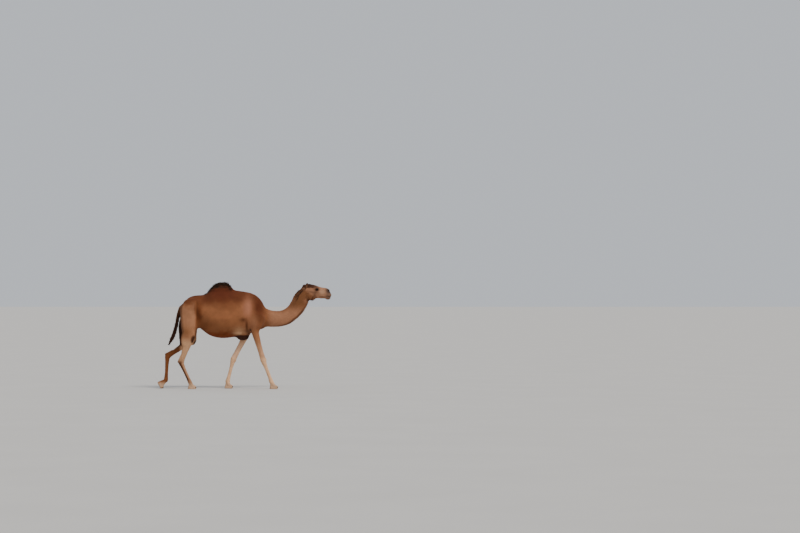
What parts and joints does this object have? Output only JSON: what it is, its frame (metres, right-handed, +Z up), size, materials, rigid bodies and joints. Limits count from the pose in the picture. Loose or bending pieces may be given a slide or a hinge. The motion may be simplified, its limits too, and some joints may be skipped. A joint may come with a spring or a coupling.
{
  "type": "dromedary camel",
  "caption": "Life-size dromedary camel striding at a pace, hump high and haired, long neck carried low and forward, the far hind heel raised at the end of its step.",
  "frame": {"origin": "on the floor under the middle of the whole model's box", "axes": "+X towards the muzzle, +Y towards the camel's left, +Z up"},
  "size_m": [3.3152, 0.628, 2.0276],
  "materials": {
    "coat_russet": "short russet hair on hide",
    "coat_dark": "dark brown hair on hide",
    "callus": "bare cracked dark callus",
    "coat_tan": "short tan hair on hide",
    "eye": "dark brown, wet and glossy",
    "coat_cream": "short pale hair on hide",
    "horn": "dark worn horn"
  },
  "bodies": {
    "root": {"trunk": "coat_russet", "hump": "coat_dark", "chest_pad": "callus", "neck": "coat_tan", "head": "coat_tan", "ear_left": "coat_russet", "ear_right": "coat_russet", "eye_left": "eye", "eye_right": "eye", "tail": "coat_dark", "foreleg_left": "coat_cream", "foreleg_right": "coat_cream", "hindleg_left": "coat_tan", "hindleg_right": "coat_tan", "forefoot_left": "coat_cream", "forefoot_right": "coat_cream", "hindfoot_left": "coat_cream", "hindfoot_right": "coat_cream", "nail_fore_left_inner": "horn", "nail_fore_left_outer": "horn", "nail_fore_right_inner": "horn", "nail_fore_right_outer": "horn", "nail_hind_left_inner": "horn", "nail_hind_left_outer": "horn", "nail_hind_right_inner": "horn", "nail_hind_right_outer": "horn"}
  },
  "joints": []
}
